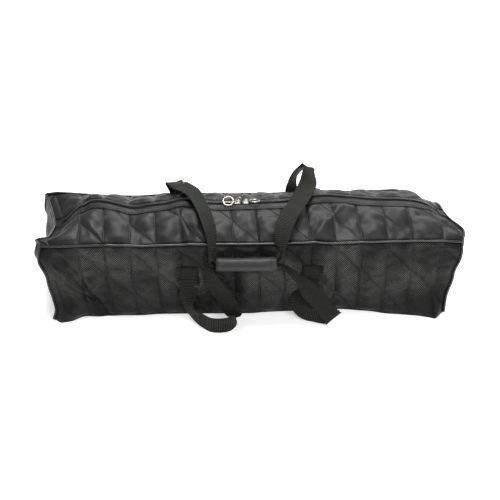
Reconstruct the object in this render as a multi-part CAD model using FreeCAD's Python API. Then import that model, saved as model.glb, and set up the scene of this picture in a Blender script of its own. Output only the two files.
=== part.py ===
import FreeCAD
import Part
import math
import os

V = FreeCAD.Vector
os.makedirs("parts", exist_ok=True)

# ---- driving dimensions, millimetres ----
SEAM_HALF_LENGTH = 424.0   # end seam, from the middle of the case
HALF_DEPTH = 100.0
EDGE_HEIGHT = 176.0        # front and rear top edges above the floor
CROWN = 37.0               # rise of the top from its edges to the zip
END_BULGE = 11.0
SIDE_BULGE = 5.0
END_TAPER = 13.0           # each end is shorter by this at the floor
TAPER_HEIGHT = 90.0
SHELL = 1.2                # outer fabric
FOAM = 6.0                 # padding
LINING = 0.8
WALL = SHELL + FOAM + LINING
FLAP_END_GAP = 0.6
FLAP_EDGE_GAP = 0.5
FLAP_HALF_LENGTH = SEAM_HALF_LENGTH - WALL - FLAP_END_GAP
WELT_OUT = 18.0            # the plain band beside the zip starts here
WELT_IN = 4.6
TAPE_OUT = 11.7
TAPE_IN = 4.0
TAPE_THICK = 0.8
COIL_R = 1.35
COIL_Y = 2.65
COIL_HALF_LENGTH = 407.0
PIPING_R = 2.5
SLIDER_LENGTH = 15.0
SLIDER_WIDTH = 10.0
SLIDER_PLATE = 1.8
SLIDER_X = {"left": -25.0, "right": -7.0}
PULL_ROLL = {"left": 26.0, "right": -18.0}
PULL_DIRECTION = {"left": -1.0, "right": 1.0}
PIN_R = 1.0
PIN_HOLE_R = 1.15
RING_HOLE_R = 2.0
LINK_LENGTH = 8.0
LINK_THICK = 1.6
LINK_R = 3.2
RING_R = 10.7
RING_WIRE_R = 1.3
WEB_WIDTH = 38.0
WEB_THICK = 2.0
GRIP_X = -8.0
GRIP_Y = -125.0
GRIP_Z = 144.0
GRIP_LENGTH = 125.0
GRIP_R = 14.5
GATHERED = 12.0            # webbing width where it is gathered inside the grip
ANCHOR_LOW = 85.0
ANCHOR_HIGH = 119.0
ANCHOR_X = 129.0

TOP = EDGE_HEIGHT + CROWN


def smooth(t):
    t = max(0.0, min(1.0, t))
    return t * t * (3.0 - 2.0 * t)


def crown(y):
    return CROWN * (1.0 - min(1.0, abs(y) / HALF_DEPTH) ** 1.4)


def shaped(x, y, z):
    """A point of the plain box, moved to where the stuffed soft case has it."""
    side = math.sin(math.pi * min(z, 150.0) / 150.0) ** 2 if z < 150.0 else 0.0
    along = max(0.0, 1.0 - (x / SEAM_HALF_LENGTH) ** 4)
    across = max(0.0, 1.0 - (y / HALF_DEPTH) ** 2)
    end = math.sin(math.pi * max(0.0, min(1.0, z / EDGE_HEIGHT))) * across
    shrink = 1.0 - END_TAPER / SEAM_HALF_LENGTH * (1.0 - smooth(z / TAPER_HEIGHT))
    return V(
        x * shrink + END_BULGE * end * (x / SEAM_HALF_LENGTH) ** 9,
        y + SIDE_BULGE * side * along * y / HALF_DEPTH,
        z + crown(y) * smooth((z - 90.0) / 70.0),
    )


def solid_of(points, triangles):
    faces = []
    for a, b, c in triangles:
        p, q, r = points[a], points[b], points[c]
        if (q - p).cross(r - p).Length < 1e-6:
            continue
        faces.append(Part.Face(Part.makePolygon([p, q, r, p])))
    solid = Part.Solid(Part.Shell(faces))
    if solid.Volume < 0:
        solid = Part.Solid(Part.Shell(faces).reversed())
    return solid


def sheet(place, us, vs, d0, d1):
    """A curved sheet between two depths below the outer surface."""
    nu, nv = len(us), len(vs)
    points = []
    for d in (d0, d1):
        for v in vs:
            for u in us:
                points.append(shaped(*place(u, v, d)))
    tri = []

    def at(layer, j, i):
        return layer * nu * nv + j * nu + i

    for j in range(nv - 1):
        for i in range(nu - 1):
            a, b, c, d = at(0, j, i), at(0, j, i + 1), at(0, j + 1, i + 1), at(0, j + 1, i)
            tri += [(a, b, c), (a, c, d)]
            a, b, c, d = at(1, j, i), at(1, j, i + 1), at(1, j + 1, i + 1), at(1, j + 1, i)
            tri += [(a, c, b), (a, d, c)]
    for i in range(nu - 1):
        for j in (0, nv - 1):
            a, b, c, d = at(0, j, i), at(0, j, i + 1), at(1, j, i + 1), at(1, j, i)
            tri += [(a, c, b), (a, d, c)] if j == 0 else [(a, b, c), (a, c, d)]
    for j in range(nv - 1):
        for i in (0, nu - 1):
            a, b, c, d = at(0, j, i), at(0, j + 1, i), at(1, j + 1, i), at(1, j, i)
            tri += [(a, b, c), (a, c, d)] if i == 0 else [(a, c, b), (a, d, c)]
    return solid_of(points, tri)


def steps(low, high, count):
    return [low + (high - low) * i / count for i in range(count + 1)]


def save(name, shape):
    shape.exportStep("parts/%s.step" % name)


UNIT_X = [-1.0, -0.97, -0.9, -0.78, -0.6, -0.4, -0.2, 0.0, 0.2, 0.4, 0.6, 0.78, 0.9, 0.97, 1.0]
UNIT_Y = steps(-1.0, 1.0, 8)
UNIT_Z = [0.0, 0.14, 0.3, 0.45, 0.6, 0.75, 0.88, 1.0]
END_Z = UNIT_Z + [2.0]     # the last row is the square top of the end wall


def bottom(u, v, d):
    return (u * (SEAM_HALF_LENGTH - d), v * (HALF_DEPTH - d), d)


def side(sign):
    def place(u, v, d):
        return (u * (SEAM_HALF_LENGTH - d), sign * (HALF_DEPTH - d),
                d + v * (EDGE_HEIGHT - 2.0 * d))
    return place


def end(sign):
    def place(u, v, d):
        # where the wall meets the front and rear it is mitred; its top is square
        z = EDGE_HEIGHT if v > 1.0 else d + v * (EDGE_HEIGHT - 2.0 * d)
        return (sign * (SEAM_HALF_LENGTH - d), u * (HALF_DEPTH - d), z)
    return place


LAYERS = [("panel", 0.0, SHELL), ("padding", SHELL, SHELL + FOAM), ("lining", SHELL + FOAM, WALL)]
for layer, d0, d1 in LAYERS:
    save("bottom_" + layer, sheet(bottom, UNIT_X, UNIT_Y, d0, d1))
    save("front_" + layer, sheet(side(-1.0), UNIT_X, UNIT_Z, d0, d1))
    save("rear_" + layer, sheet(side(1.0), UNIT_X, UNIT_Z, d0, d1))
    save("left_end_" + layer, sheet(end(-1.0), UNIT_Y, END_Z, d0, d1))
    save("right_end_" + layer, sheet(end(1.0), UNIT_Y, END_Z, d0, d1))

# ---- the two top flaps, from the edge seam to the zip ----
FLAP_X = steps(-FLAP_HALF_LENGTH, FLAP_HALF_LENGTH, 2)


FLAP_ROWS = [HALF_DEPTH, 84.0, 68.0, 52.0, 38.0, 27.0, WELT_OUT]
FOAM_ROWS = FLAP_ROWS + [12.0]
WELT_ROWS = [WELT_OUT - 0.2, 12.0, TAPE_OUT, 8.0, WELT_IN]
TAPE_ROWS = [TAPE_OUT, 8.0, WELT_IN, TAPE_IN]


def flap(sign):
    """Rows are distances from the middle; the outermost is cut back to the mitre."""
    def place(u, v, d):
        return (u, sign * min(v, HALF_DEPTH - d - FLAP_EDGE_GAP), EDGE_HEIGHT - d)
    return place


for name, sign in (("front", -1.0), ("rear", 1.0)):
    save("top_%s_panel" % name, sheet(flap(sign), FLAP_X, FLAP_ROWS, 0.0, SHELL))
    save("top_%s_padding" % name, sheet(flap(sign), FLAP_X, FOAM_ROWS, SHELL, SHELL + FOAM))
    save("top_%s_lining" % name, sheet(flap(sign), FLAP_X, FOAM_ROWS, SHELL + FOAM, WALL))
    save("zip_welt_" + name, sheet(flap(sign), FLAP_X, WELT_ROWS, 0.0, SHELL))
    save("zip_tape_" + name,
         sheet(flap(sign), FLAP_X, TAPE_ROWS, SHELL, SHELL + TAPE_THICK))
    save("zip_coil_" + name, Part.makeCylinder(
        COIL_R, 2 * COIL_HALF_LENGTH,
        V(-COIL_HALF_LENGTH, sign * COIL_Y, TOP - 1.6), V(1, 0, 0)))

for name, sign in (("left", -1.0), ("right", 1.0)):
    x0, x1 = sorted((sign * 409.5, sign * (SEAM_HALF_LENGTH - 0.5)))
    save("zip_end_tab_" + name, Part.makeBox(x1 - x0, 22.0, 1.2, V(x0, -11.0, TOP)))


# ---- piping: a round cord in the seams, just outside the corner it covers ----
def rod(points, radius):
    """A round cord along a line of points, closed by a flat face at each end."""
    sides = 10
    rings = []
    for i, p in enumerate(points):
        a = points[max(0, i - 1)]
        b = points[min(len(points) - 1, i + 1)]
        t = (b - a).normalize()
        side_way = t.cross(V(0, 0, 1)) if abs(t.z) < 0.9 else t.cross(V(1, 0, 0))
        side_way.normalize()
        up = side_way.cross(t)
        if i and (side_way.dot(last_side) < 0 or abs(side_way.dot(last_side)) < 0.8):
            side_way = (last_side - t * last_side.dot(t)).normalize()
            up = side_way.cross(t)
        last_side = V(side_way)
        rings.append([p + side_way * (radius * math.cos(k * 2 * math.pi / sides))
                      + up * (radius * math.sin(k * 2 * math.pi / sides)) for k in range(sides)])
    points2 = [q for ring in rings for q in ring]
    n = len(rings)
    points2 += [points[0], points[-1]]
    tri = []
    for i in range(n - 1):
        for k in range(sides):
            a, b = i * sides + k, i * sides + (k + 1) % sides
            c, d = a + sides, b + sides
            tri += [(a, b, d), (a, d, c)]
    for k in range(sides):
        tri.append((n * sides, (k + 1) % sides, k))
        tri.append((n * sides + 1, (n - 1) * sides + k, (n - 1) * sides + (k + 1) % sides))
    return solid_of(points2, tri)


OUT = (PIPING_R + 0.12) / math.sqrt(2.0)
for name, sign in (("front", -1.0), ("rear", 1.0)):
    save("piping_%s_top" % name, rod(
        [V(-418.0, sign * (HALF_DEPTH + OUT), EDGE_HEIGHT + OUT),
         V(418.0, sign * (HALF_DEPTH + OUT), EDGE_HEIGHT + OUT)], PIPING_R))
for name, sign in (("left", -1.0), ("right", 1.0)):
    line = []
    for z in steps(4.0, EDGE_HEIGHT, 9):
        p = shaped(sign * SEAM_HALF_LENGTH, -HALF_DEPTH, z)
        line.append(V(p.x + sign * OUT, p.y - OUT, p.z))
    for i in range(1, 12):
        y = -HALF_DEPTH + 2 * HALF_DEPTH * i / 12
        p = shaped(sign * SEAM_HALF_LENGTH, y, EDGE_HEIGHT)
        line.append(V(p.x + sign * (OUT + 0.35), y, p.z + OUT + 0.35))
    for z in reversed(steps(4.0, EDGE_HEIGHT, 9)):
        p = shaped(sign * SEAM_HALF_LENGTH, HALF_DEPTH, z)
        line.append(V(p.x + sign * OUT, p.y + OUT, p.z))
    save("piping_%s_end" % name, rod(line, PIPING_R))

# ---- zip sliders, pull links and pull rings ----
PLATE_LOW = TOP + 0.4
PLATE_TOP = PLATE_LOW + SLIDER_PLATE
PIN_Z = TOP + 5.4
for name in ("left", "right"):
    x = SLIDER_X[name]
    s = PULL_DIRECTION[name]
    plate = Part.makeBox(SLIDER_LENGTH, SLIDER_WIDTH, SLIDER_PLATE,
                         V(x - SLIDER_LENGTH / 2, -SLIDER_WIDTH / 2, PLATE_LOW))
    plate = plate.makeFillet(0.8, [e for e in plate.Edges
                                   if abs(e.Vertexes[0].Z - e.Vertexes[1].Z) > 1.0])
    stem = Part.makeBox(8.0, 1.2, 2.3, V(x - 4.0, -0.6, PLATE_LOW - 2.2))
    body = plate.fuse(stem)
    for y in (-3.0, 1.4):
        lug = Part.makeBox(4.0, 1.6, PIN_Z - PLATE_TOP + 0.1, V(x - 2.0, y, PLATE_TOP - 0.1))
        knob = Part.makeCylinder(2.0, 1.6, V(x, y, PIN_Z), V(0, 1, 0))
        body = body.fuse(lug).fuse(knob)
    body = body.fuse(Part.makeCylinder(PIN_R, 3.0, V(x, -1.5, PIN_Z), V(0, 1, 0)))
    save("slider_" + name, body.removeSplitter())

    hole_x = x + s * LINK_LENGTH
    low = -LINK_THICK / 2
    link = Part.makeBox(LINK_LENGTH, LINK_THICK, 3.6, V(min(x, hole_x), low, PIN_Z - 1.8))
    link = link.fuse(Part.makeCylinder(1.95, LINK_THICK, V(x, low, PIN_Z), V(0, 1, 0)))
    link = link.fuse(Part.makeCylinder(LINK_R, LINK_THICK, V(hole_x, low, PIN_Z), V(0, 1, 0)))
    link = link.cut(Part.makeCylinder(PIN_HOLE_R, 4.0, V(x, -2.0, PIN_Z), V(0, 1, 0)))
    link = link.cut(Part.makeCylinder(RING_HOLE_R, 4.0, V(hole_x, -2.0, PIN_Z), V(0, 1, 0)))
    save("pull_link_" + name, link.removeSplitter())

    roll = math.radians(PULL_ROLL[name])
    normal = V(0, -math.sin(roll), math.cos(roll))
    save("pull_ring_" + name, Part.makeTorus(
        RING_R, RING_WIRE_R, V(hole_x + s * RING_R, 0, PIN_Z), normal))


# ---- handle webbing ----
def spline(keys, per):
    """Points of (centre, width way, width) keys, with a smooth curve between them."""
    at = [V(*k[0]) for k in keys]
    out = []
    for i in range(len(keys) - 1):
        p1, p2 = at[i], at[i + 1]
        p0, p3 = at[max(0, i - 1)], at[min(len(keys) - 1, i + 2)]
        run = (p2 - p1).Length
        m1 = (p2 - p0) * (run / (run + (p1 - p0).Length))
        m2 = (p3 - p1) * (run / (run + (p3 - p2).Length))
        for n in range(per):
            t = n / per
            p = (p1 * (2 * t ** 3 - 3 * t * t + 1) + m1 * (t ** 3 - 2 * t * t + t)
                 + p2 * (3 * t * t - 2 * t ** 3) + m2 * (t ** 3 - t * t))
            way = V(*keys[i][1]) * (1 - t) + V(*keys[i + 1][1]) * t
            out.append((p, way, keys[i][2] * (1 - t) + keys[i + 1][2] * t))
    out.append((at[-1], V(*keys[-1][1]), keys[-1][2]))
    return out


def band(keys, per=3):
    rows = spline(keys, per)
    points = []
    for i, (p, way, width) in enumerate(rows):
        t = (rows[min(len(rows) - 1, i + 1)][0] - rows[max(0, i - 1)][0]).normalize()
        w = (way - t * way.dot(t)).normalize()
        n = t.cross(w)
        for a, b in ((-1, -1), (1, -1), (1, 1), (-1, 1)):
            points.append(p + w * (a * width / 2) + n * (b * WEB_THICK / 2))
    tri = []
    for i in range(len(rows) - 1):
        for k in range(4):
            a, b = i * 4 + k, i * 4 + (k + 1) % 4
            c, d = a + 4, b + 4
            tri += [(a, d, b), (a, c, d)]
    e = (len(rows) - 1) * 4
    tri += [(0, 1, 2), (0, 2, 3), (e, e + 2, e + 1), (e, e + 3, e + 2)]
    return solid_of(points, tri)


FACE_Y = HALF_DEPTH + SIDE_BULGE
WEB = WEB_WIDTH
XW = (1, 0, 0)
UP = (0, 0, 1)
front_left = [
    ((-ANCHOR_X, -FACE_Y - 2.4, ANCHOR_LOW - 0.8), XW, WEB),
    ((-ANCHOR_X, -FACE_Y - 2.8, ANCHOR_LOW - 7.0), XW, WEB),
    ((-131, -114, 60), (1, -0.15, 0), WEB),
    ((-131, -125, 43), (0.6, -0.65, 0.35), WEB),
    ((-122, -138, 28), (0.3, -0.55, 0.75), WEB),
    ((-104, -151, 20.5), (0, 0, 1), WEB),
    ((-80, -170, 20.3), UP, WEB),
    ((-52, -168, 20.3), UP, WEB),
    ((-34, -152, 25), (0.35, 0, 0.93), WEB),
    ((-38, -142, 46), (0.7, 0.1, 0.65), WEB),
    ((-55, -134, 72), (0.75, -0.2, 0.5), WEB),
    ((-74, -128, 100), (0.75, -0.3, 0.4), WEB),
    ((-82, -125.5, 123), (0.55, -0.5, 0.5), 34),
    ((-80, -125.5, 137), (0.15, -0.6, 0.5), 20),
    ((-68, GRIP_Y, GRIP_Z - 1.9), (0, 1, 0), GATHERED),
    ((-56, GRIP_Y, GRIP_Z - 1.9), (0, 1, 0), GATHERED),
]
front_right = [
    ((40, GRIP_Y, GRIP_Z - 1.9), (0, 1, 0), GATHERED),
    ((50, GRIP_Y, GRIP_Z - 1.9), (0, 1, 0), GATHERED),
    ((63, -125.5, 139), (0.1, 0.8, 0), 16),
    ((76, -127, 130), (0.4, 0.7, 0.1), 24),
    ((97, -132, 107), (0.7, 0.4, 0.35), 35),
    ((130, -140, 75), (0.9, 0.1, 0.5), WEB),
    ((160, -146, 46), (0.8, 0.1, 0.6), WEB),
    ((178, -151, 24), (0.5, 0.1, 0.8), WEB),
    ((168, -157, 20.3), (0.1, 0, 1), WEB),
    ((138, -152, 20.3), UP, WEB),
    ((112, -141, 24), (0.3, 0, 0.95), WEB),
    ((99, -131, 38), (0.7, -0.2, 0.65), WEB),
    ((106, -122, 56), (0.95, -0.2, 0.3), WEB),
    ((ANCHOR_X - 4.5, -FACE_Y - 6.0, ANCHOR_LOW - 10.0), XW, WEB),
    ((ANCHOR_X - 2, -FACE_Y - 3.4, ANCHOR_LOW - 2.2), XW, WEB),
]
rear_left = [
    ((-ANCHOR_X - 4, FACE_Y + 2.4, ANCHOR_HIGH + 0.8), XW, WEB),
    ((-ANCHOR_X - 5, FACE_Y + 2.6, ANCHOR_HIGH + 8.0), XW, WEB),
    ((-150, 114, 155), (1, 0.15, 0), WEB),
    ((-160, 118, 186), (0.8, 0.55, 0), WEB),
    ((-167, 108, 212), (0.75, 0.55, 0.1), WEB),
    ((-164, 86, 222), (0.9, 0.2, 0.2), WEB),
    ((-148, 62, 223.5), (0.85, 0.5, 0.05), WEB),
    ((-125.5, 26, 222), (0.8, 0.6, 0), WEB),
    ((-109, -10, 221), (0.85, 0.45, 0), WEB),
    ((-96.5, -47, 215), (0.9, 0.35, 0), WEB),
    ((-88, -92, 201), (0.9, 0.25, -0.1), WEB),
    ((-83, -118.5, 176), (0.8, 0.2, -0.3), 34),
    ((-80, -122.5, 158), (0.3, 0.7, -0.4), 20),
    ((-68, GRIP_Y, GRIP_Z + 1.9), (0, 1, 0), GATHERED),
    ((-56, GRIP_Y, GRIP_Z + 1.9), (0, 1, 0), GATHERED),
]
rear_right = [
    ((40, GRIP_Y, GRIP_Z + 1.9), (0, 1, 0), GATHERED),
    ((52.5, GRIP_Y, GRIP_Z + 1.9), (0, 1, 0), GATHERED),
    ((65, -123.5, 158), (-0.25, 0.75, 0.4), 18),
    ((64, -117, 177), (-0.8, 0.3, 0.4), 32),
    ((67, -95, 202), (-0.9, 0.2, 0.2), WEB),
    ((81, -54, 215), (-0.9, 0.3, 0.1), WEB),
    ((101, -14, 223), (-0.85, 0.45, 0.15), WEB),
    ((127, 40, 235), (-0.75, 0.3, 0.4), WEB),
    ((130.5, 68, 247), (-0.65, -0.1, 0.6), WEB),
    ((124, 88, 252), (-0.7, -0.3, 0.5), WEB),
    ((104, 104, 231), (-0.85, -0.3, 0.35), WEB),
    ((93.5, 112, 204), (-0.95, -0.2, 0.1), WEB),
    ((93, 114, 174), (-1, 0, -0.05), WEB),
    ((113, 112, 143), (-1, 0, -0.1), WEB),
    ((ANCHOR_X - 0.5, FACE_Y + 2.8, ANCHOR_HIGH + 8.0), (-1, 0, 0), WEB),
    ((ANCHOR_X, FACE_Y + 2.4, ANCHOR_HIGH + 0.8), (-1, 0, 0), WEB),
]
save("front_handle_webbing", band(front_left + front_right))
save("rear_handle_webbing", band(rear_left + rear_right))

for name, x, sign in (("front_anchor_left", -ANCHOR_X, -1), ("front_anchor_right", ANCHOR_X - 2, -1),
                      ("rear_anchor_left", -ANCHOR_X - 4, 1), ("rear_anchor_right", ANCHOR_X, 1)):
    y = FACE_Y + 0.2
    save(name, Part.makeBox(WEB_WIDTH, 4.4, ANCHOR_HIGH - ANCHOR_LOW,
                            V(x - WEB_WIDTH / 2, y if sign > 0 else -y - 4.4, ANCHOR_LOW)))


# ---- the grip that holds both handles together ----
def shell(r0, r1, a0, a1, x0, x1):
    """Part of a tube about the grip's own line; angles from the rear, over the top."""
    wedge = Part.makeCylinder(r1, x1 - x0, V(x0, 0, 0), V(1, 0, 0), a1 - a0)
    wedge = wedge.cut(Part.makeCylinder(r0, x1 - x0 + 2, V(x0 - 1, 0, 0), V(1, 0, 0)))
    # the wedge starts where its own axes have it, so it is turned until it starts at a0
    wedge = wedge.Solids[0]
    middle = wedge.CenterOfMass
    now = math.degrees(math.atan2(middle.z, middle.y))
    wedge.rotate(V(0, 0, 0), V(1, 0, 0), (a0 + a1) / 2 - now)
    wedge.translate(V(0, GRIP_Y, GRIP_Z))
    return wedge


X0 = GRIP_X - GRIP_LENGTH / 2
X1 = GRIP_X + GRIP_LENGTH / 2
save("grip_wrap", shell(11.5, GRIP_R, -100, 95, X0, X1))
save("grip_flap", shell(13.0, GRIP_R, 97, 257, X0, X1))
save("grip_hook_patch", shell(12.4, 13.0, 205, 250, X0 + 8, X1 - 8))
save("grip_loop_patch", shell(11.5, 12.2, 205, 250, X0 + 8, X1 - 8))
foam = Part.makeCylinder(11.5, GRIP_LENGTH - 6, V(X0 + 3, GRIP_Y, GRIP_Z), V(1, 0, 0))
foam = foam.cut(Part.makeCylinder(7.4, GRIP_LENGTH, V(X0, GRIP_Y, GRIP_Z), V(1, 0, 0)))
save("grip_padding", foam.Solids[0])
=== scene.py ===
import bpy
import math
import numpy as np
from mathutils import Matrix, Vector


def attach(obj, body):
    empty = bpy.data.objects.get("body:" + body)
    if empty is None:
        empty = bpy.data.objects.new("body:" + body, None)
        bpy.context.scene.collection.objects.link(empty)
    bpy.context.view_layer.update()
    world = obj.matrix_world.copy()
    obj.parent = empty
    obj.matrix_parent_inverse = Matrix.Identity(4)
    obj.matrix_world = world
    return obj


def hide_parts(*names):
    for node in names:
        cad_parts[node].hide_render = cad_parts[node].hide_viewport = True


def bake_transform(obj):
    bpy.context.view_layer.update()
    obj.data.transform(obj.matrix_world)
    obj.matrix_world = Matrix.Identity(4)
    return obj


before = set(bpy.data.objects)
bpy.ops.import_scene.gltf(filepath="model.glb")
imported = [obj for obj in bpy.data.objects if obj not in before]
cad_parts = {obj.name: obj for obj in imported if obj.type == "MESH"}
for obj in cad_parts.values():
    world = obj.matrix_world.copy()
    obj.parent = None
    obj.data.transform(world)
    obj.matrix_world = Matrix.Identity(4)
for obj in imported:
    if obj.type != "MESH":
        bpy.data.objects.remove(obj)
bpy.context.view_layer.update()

MM = 0.001
HALF_LENGTH = 424.0
HALF_DEPTH = 100.0
EDGE_HEIGHT = 176.0
CROWN = 37.0
WALL = 8.0
CELL = 53.3                 # spacing of the upright quilting seams, mm
SEAM_X = 20.0               # one of them
STEP = CELL / 13.0
WELT_OUT = 18.0
LATTICE = 4.8               # spacing of the raised diamonds in the nylon
SPLIT = SEAM_X              # the flaps are cut in two at this seam
GROW = 0.038                # how much the quilted cloth is larger than its frame
PRESSURE = 2.2
FRAMES = 16                 # frames that each simulation runs for


# ---------------------------------------------------------------- shape
def smooth(t):
    t = np.clip(t, 0.0, 1.0)
    return t * t * (3.0 - 2.0 * t)


def curve(x, keys):
    """A smooth line through (x, value) keys, level beyond the last ones."""
    kx = np.array([k[0] for k in keys], float)
    ky = np.array([k[1] for k in keys], float)
    slope = np.zeros(len(kx))
    slope[1:-1] = (ky[2:] - ky[:-2]) / (kx[2:] - kx[:-2])
    x = np.clip(np.asarray(x, float), kx[0], kx[-1])
    i = np.clip(np.searchsorted(kx, x) - 1, 0, len(kx) - 2)
    h = kx[i + 1] - kx[i]
    t = (x - kx[i]) / h
    return ((2 * t**3 - 3 * t**2 + 1) * ky[i] + (t**3 - 2 * t**2 + t) * h * slope[i]
            + (3 * t**2 - 2 * t**3) * ky[i + 1] + (t**3 - t**2) * h * slope[i + 1])


# how the slack top wanders along the case: rise and rearward shift at the zip
ZIP_RISE = [(-424, -50), (-403, -42), (-378, -20), (-356, -5), (-342, -2.5), (-326, 4), (-300, 5), (-268, -1),
            (-235, -7), (-199, -2), (-166, 1), (-131, 6), (-80, 0), (0, 0), (80, 1), (121, 2),
            (164, 5), (225, 3), (280, 2), (350, 0), (385, -8), (424, -34)]
ZIP_SHIFT = [(-424, 0), (-350, 0), (-320, 5), (-280, 2), (-235, -3), (-166, 0), (-131, 6),
             (-70, 0), (40, 0), (100, 4), (164, 17), (225, 12), (275, 5), (330, 3), (380, 0), (424, 0)]
REAR_EDGE = [(-424, 4), (-400, 6), (-312, -1), (-234, -5), (-170, -2), (-80, 0), (0, -2), (60, -2),
             (164, 4), (230, 1), (320, 3), (350, 3), (377, -6), (395, -20), (424, -32)]
# how far the foot of the front wall is tucked in or kicked out. Unlike the other lists this one was made
# by a measuring program, so it isn't an example to follow: a few points drawn by hand should replace it
FOOT = [(-424, -20), (-411, -32), (-400, -31), (-388, -26), (-377, -16), (-366, -10), (-345, -10), (-319, -11),
        (-293, -8), (-240, -9), (-213, -6), (-187, -5), (-133, -5), (0, -7), (27, -4), (53, -2), (110, 0),
        (200, 4), (241, -2), (267, -6), (293, -14), (319, -18), (345, -22), (368, -26), (390, -33),
        (401, -37), (412, -26), (424, -13)]
FRONT_EDGE = [(-424, -1), (-380, -1), (-300, 1), (-200, -1.5), (-100, 0.5), (0, -1), (110, 1),
              (200, -0.5), (300, 1.5), (390, 1), (424, -3)]
# folds in the top: height, place, slope, where it is placed along y, width, and middle and reach along y
TOP_FOLDS = [(5, -135, -0.25, -60, 9, -62, 34), (6, 170, 0.95, -62, 11, -58, 38),
             (-4, 205, 0.95, -62, 15, -58, 38), (4, -330, -0.9, -60, 10, -55, 40),
             (-3, -232, -0.3, -60, 20, -55, 45), (3.5, 300, -0.8, -60, 12, -60, 35)]


def crown(y):
    return CROWN * (1.0 - np.clip(np.abs(y) / HALF_DEPTH, 0, 1) ** 1.4)


def bump(x, z, x0, z0, rx, rz):
    return np.exp(-((x - x0) / rx) ** 2 - ((z - z0) / rz) ** 2)


def soft(p):
    """Plain-box points, in mm, moved to where the slack padded case has them."""
    p = np.asarray(p, float)
    x, y, z = p[..., 0], p[..., 1], p[..., 2]
    t = x / HALF_LENGTH
    s = y / HALF_DEPTH
    sc = np.clip(s, -1.0, 1.0)
    side = np.where(z < 150.0, np.sin(np.pi * np.clip(z, 0, 150) / 150.0) ** 2, 0.0)
    along = np.clip(1.0 - t**4, 0, 1)
    end = np.sin(np.pi * np.clip(z / EDGE_HEIGHT, 0, 1)) * (1.0 - sc * sc)
    shrink = 1.0 - np.where(x > 0, 9.0, 13.0) / HALF_LENGTH * (1.0 - smooth(z / 90.0))
    top = smooth((z - 90.0) / 70.0)
    ridge = 1.0 - np.abs(sc) ** 1.5
    rear = smooth((sc + 0.1) / 1.1)
    front = smooth((-sc - 0.1) / 1.1)
    nx = x * shrink + 11.0 * end * np.sign(t) * np.abs(t) ** 9
    ny = y + 4.0 * side * along * s
    nz = z + crown(y) * top
    nz = nz + top * ridge * curve(x, ZIP_RISE)
    ny = ny + top * (1.0 - sc * sc) * curve(x, ZIP_SHIFT)
    nz = nz + top * (rear * curve(x, REAR_EDGE) + front * curve(x, FRONT_EDGE)) * np.abs(sc) ** 2
    # the left end of the top is drawn in where it meets the zip, the right one is full
    nx = nx + 24.0 * top * ridge * smooth((-t - 0.75) / 0.25)
    nx = nx - 4.0 * top * ridge * smooth((t - 0.8) / 0.2)
    # end walls: full above mid height, and the upper front corners stand out and are rounded
    high = smooth((z - 95.0) / 45.0)
    nx = nx - (5.0 * high + 7.0 * np.exp(-((z - 140.0) / 26.0) ** 2)) * smooth((-t - 0.86) / 0.14)
    nx = nx + (8.0 * high * (1.0 - 0.7 * smooth((s + 0.6) / 0.8) * top) + 5.0 * smooth((z - 30.0) / 60.0)
               ) * smooth((t - 0.86) / 0.14)
    nx = nx - 16.0 * top * np.exp(-((s + 0.78) / 0.14) ** 2) * smooth((-t - 0.84) / 0.16)
    nx = nx + 16.0 * top * np.exp(-((s + 0.60) / 0.32) ** 2) * smooth((t - 0.84) / 0.16)
    nz = nz + 6.0 * top * np.exp(-((s + 0.78) / 0.16) ** 2) * smooth((-t - 0.86) / 0.14)
    # the front corners are rounded off where the piping turns
    round_off = smooth((-s - 0.80) / 0.20) * np.exp(-((z - 176.0) / 16.0) ** 2)
    ny = ny + 8.0 * round_off * smooth((np.abs(t) - 0.90) / 0.10)
    nz = nz - 5.0 * round_off * smooth((np.abs(t) - 0.90) / 0.10)
    # slow waves in the front and rear walls
    wave = (1.5 * np.sin(x / 61.0 + 0.6) * np.sin(z / 47.0 + 0.3)
            + 1.1 * np.sin(x / 33.0 + z / 52.0 + 1.9)) * smooth(z / 40.0) * smooth((176.0 - z) / 40.0)
    ny = ny + wave * s * along
    # the front foot
    foot = smooth((58.0 - z) / 58.0)
    ny = ny + foot * front * curve(x, FOOT)
    nx = nx - 9.0 * smooth((26.0 - z) / 26.0) * smooth((-t - 0.85) / 0.15)
    # crumpled lower left corner, and the long slanting crease above it
    ny = ny + 8.0 * front * bump(x, z, -392.0, 40.0, 15.0, 15.0)
    ny = ny - 5.0 * front * bump(x, z, -372.0, 52.0, 14.0, 26.0)
    crease = (x + 396.0 - 0.49 * (160.0 - z)) / 1.11
    ny = ny + front * smooth((172.0 - z) / 30.0) * smooth((z + 10) / 30.0) * (
        8.0 * np.exp(-(crease / 9.0) ** 2) - 4.0 * np.exp(-((crease + 20.0) / 12.0) ** 2)
        - 3.0 * np.exp(-((crease - 22.0) / 14.0) ** 2))
    # the wall is drawn in below the grip, and hangs in soft upright folds to the right of it
    ny = ny + 5.0 * front * bump(x, z, -25.0, 92.0, 30.0, 34.0)
    for at, deep, wide in ((236.0, 4.5, 11.0), (312.0, 4.0, 12.0), (362.0, 4.5, 10.0), (-232.0, 3.0, 14.0)):
        ny = ny + front * deep * bump(x, z, at - 0.1 * (z - 100.0), 110.0, wide, 55.0)
    # folds in the top of the front flap
    for tall, at, slope, y_mid, wide, y_fold, y_wide in TOP_FOLDS:
        line = (x - at - slope * (y - y_mid)) / wide
        nz = nz + tall * np.exp(-line**2) * bump(y, z, y_fold, EDGE_HEIGHT, y_wide, 40.0)
    # the rear of the case lies a little to the left
    nx = nx - 0.085 * (ny + HALF_DEPTH)
    return np.stack([nx, ny, np.maximum(nz, 0.0)], -1)


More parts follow.
